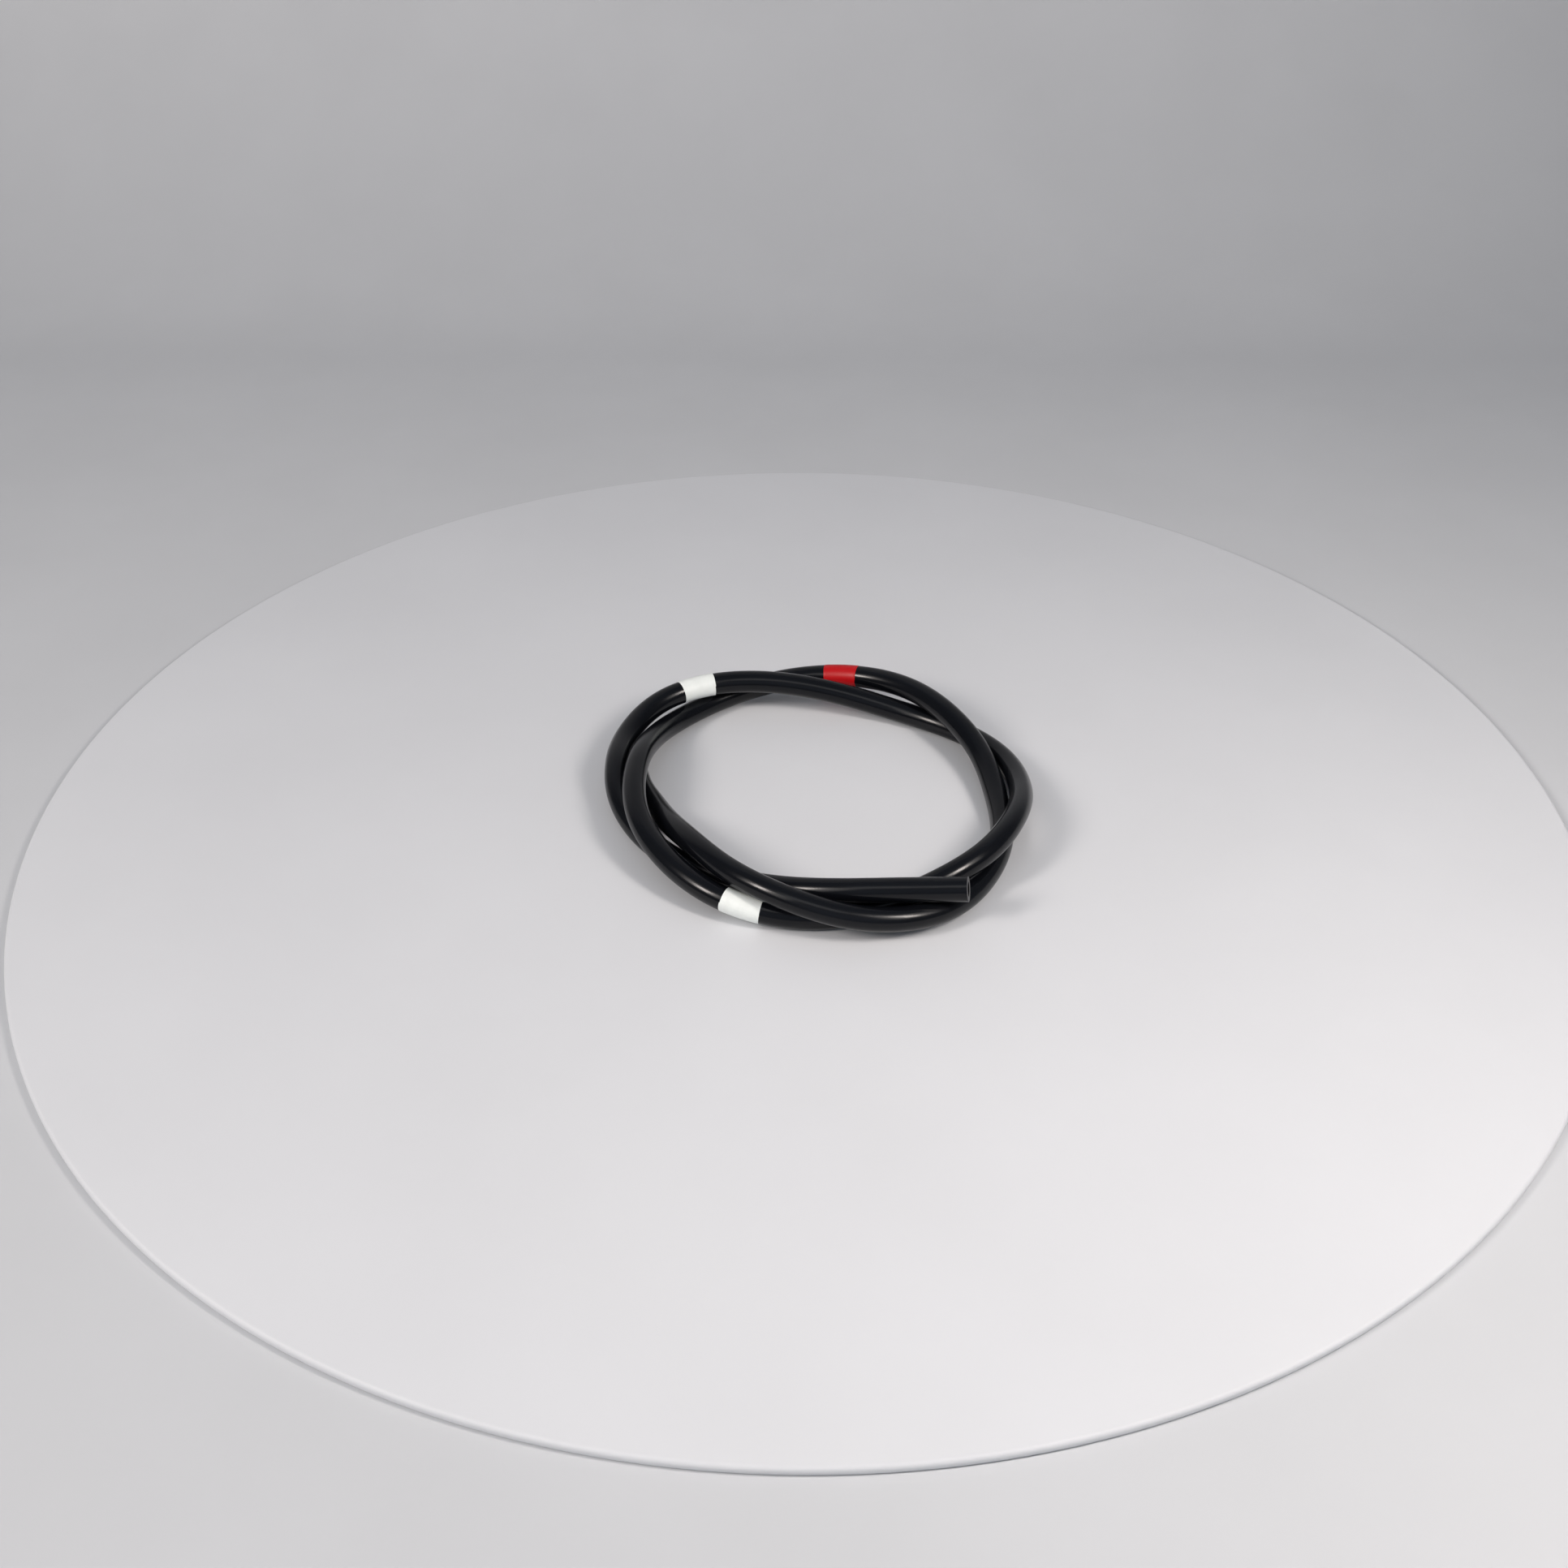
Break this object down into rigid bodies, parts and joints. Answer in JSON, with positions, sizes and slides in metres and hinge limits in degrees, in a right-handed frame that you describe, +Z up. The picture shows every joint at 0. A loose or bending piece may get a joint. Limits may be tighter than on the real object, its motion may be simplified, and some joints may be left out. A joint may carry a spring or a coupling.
{
  "type": "rubber hose",
  "caption": "Smooth thick-walled rubber hose with plain cut ends, lying in a loose interlaced coil and marked with narrow bands of tape.",
  "frame": {"origin": "middle of the coil's bounding box, on the floor it lies on", "axes": "+Z up from the floor; +X is the way the open end in view points, so -Y is the side that end lies on"},
  "size_m": [0.2923, 0.2998, 0.0394],
  "materials": {
    "black_rubber": "semi-gloss",
    "white_tape": "satin",
    "red_tape": "satin"
  },
  "bodies": {
    "root": {"hose": "black_rubber", "white_band_back": "white_tape", "white_band_front": "white_tape", "red_band": "red_tape"}
  },
  "joints": []
}
